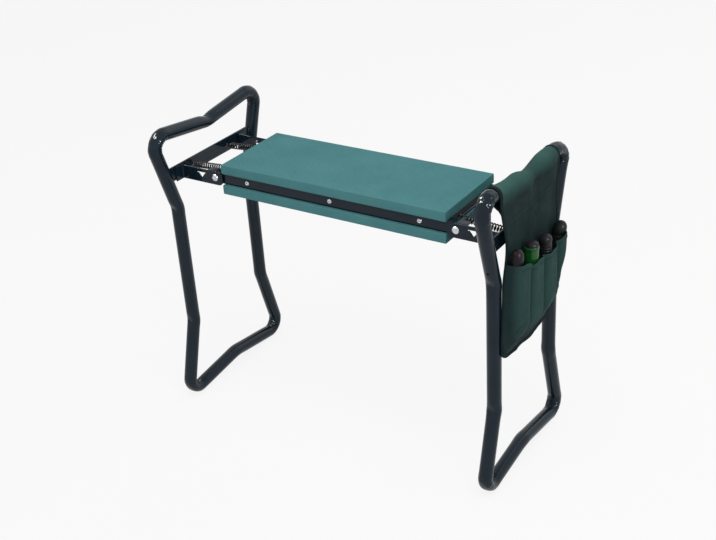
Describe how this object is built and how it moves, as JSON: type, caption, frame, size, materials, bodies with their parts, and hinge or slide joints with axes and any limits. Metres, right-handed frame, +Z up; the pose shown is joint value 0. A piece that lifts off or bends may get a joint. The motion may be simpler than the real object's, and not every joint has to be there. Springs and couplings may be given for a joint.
{
  "type": "folding garden kneeler",
  "caption": "Foam-padded kneeling board that is also a low bench, on two folding bent-tube leg loops with handles, with a tool pouch on one side.",
  "frame": {"origin": "on the floor under the middle of the seat", "axes": "+X along the seat towards the end with the tool pouch, +Y to the rear long side, +Z up"},
  "size_m": [0.6078, 0.2696, 0.4823],
  "materials": {
    "foam": "closed-cell EVA foam, teal, fine diamond emboss",
    "board": "moulded black board",
    "black_steel": "gloss black powder coat",
    "rivets": "zinc-plated",
    "washers": "zinc-plated",
    "springs": "blackened spring wire",
    "pouch_cloth": "dark green woven polyester",
    "hook_and_loop": "black hook-and-loop tape",
    "brown_grip": "dark brown moulded grip",
    "green_grip": "bright green moulded grip",
    "black_grips": "black moulded grips",
    "tool_steel": "plain steel"
  },
  "bodies": {
    "seat": {"seat_board": "board", "top_pad": "foam", "bottom_pad": "foam", "front_rail": "black_steel", "rear_rail": "black_steel", "rail_rivets": "rivets", "left_spring_rod": "black_steel", "right_spring_rod": "black_steel"},
    "left_frame": {"left_loop": "black_steel", "left_crossbar": "black_steel", "left_front_arm": "black_steel", "left_rear_arm": "black_steel", "left_pivot_rivets": "rivets", "left_pivot_washers": "washers", "left_front_spring": "springs", "left_rear_spring": "springs"},
    "right_frame": {"right_loop": "black_steel", "right_crossbar": "black_steel", "right_front_arm": "black_steel", "right_rear_arm": "black_steel", "right_pivot_rivets": "rivets", "right_pivot_washers": "washers", "right_front_spring": "springs", "right_rear_spring": "springs", "pouch_panel": "pouch_cloth", "pouch_pockets": "pouch_cloth", "pouch_fastener": "hook_and_loop", "trowel_grip": "brown_grip", "fork_grip": "green_grip", "fork_cap": "black_grips", "weeder_grip": "black_grips", "dibber_grip": "black_grips", "trowel_blade": "tool_steel", "fork_tines": "tool_steel", "weeder_blade": "tool_steel", "dibber_point": "tool_steel"}
  },
  "joints": [
    {"name": "left_fold", "type": "hinge", "parent": "seat", "child": "left_frame", "pos_m": [-0.211, 0, 0.399], "axis": [0, -1, 0], "range_deg": [0, 47], "deforming": ["left_front_spring", "left_rear_spring"]},
    {"name": "right_fold", "type": "hinge", "parent": "seat", "child": "right_frame", "pos_m": [0.211, 0, 0.399], "axis": [0, 1, 0], "range_deg": [0, 90], "deforming": ["right_front_spring", "right_rear_spring"]}
  ]
}
